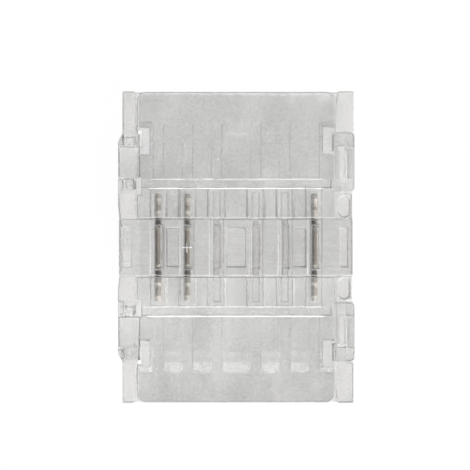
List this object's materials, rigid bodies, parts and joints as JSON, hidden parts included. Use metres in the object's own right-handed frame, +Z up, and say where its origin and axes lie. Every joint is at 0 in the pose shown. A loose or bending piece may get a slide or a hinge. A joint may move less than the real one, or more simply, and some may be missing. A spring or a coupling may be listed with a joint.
{
  "type": "led strip connector",
  "caption": "Clear solderless connector that joins two light strips end to end, with two hinged latching lids over a shared housing and piercing contacts.",
  "frame": {"origin": "centre of the underside", "axes": "+Y along the light strips, towards the back lid; +Z up through the lids; hinges on -X, latches on +X"},
  "size_m": [0.012, 0.016, 0.0042],
  "materials": {
    "clear_housing": "clear moulded plastic",
    "clear_lid": "clear moulded plastic",
    "tinned_contact": "tinned stamped sheet"
  },
  "bodies": {
    "housing": {"base_housing": "clear_housing", "contact_1": "tinned_contact", "contact_2": "tinned_contact", "contact_6": "tinned_contact"},
    "back_cover": {"back_lid": "clear_lid"},
    "front_cover": {"front_lid": "clear_lid"}
  },
  "joints": [
    {"name": "back_lid_hinge", "type": "hinge", "parent": "housing", "child": "back_cover", "pos_m": [-0.00545, 0.00432, 0.0029], "axis": [0, -1, 0], "range_deg": [0, 105]},
    {"name": "front_lid_hinge", "type": "hinge", "parent": "housing", "child": "front_cover", "pos_m": [-0.00545, -0.00432, 0.0029], "axis": [0, -1, 0], "range_deg": [0, 105]}
  ]
}
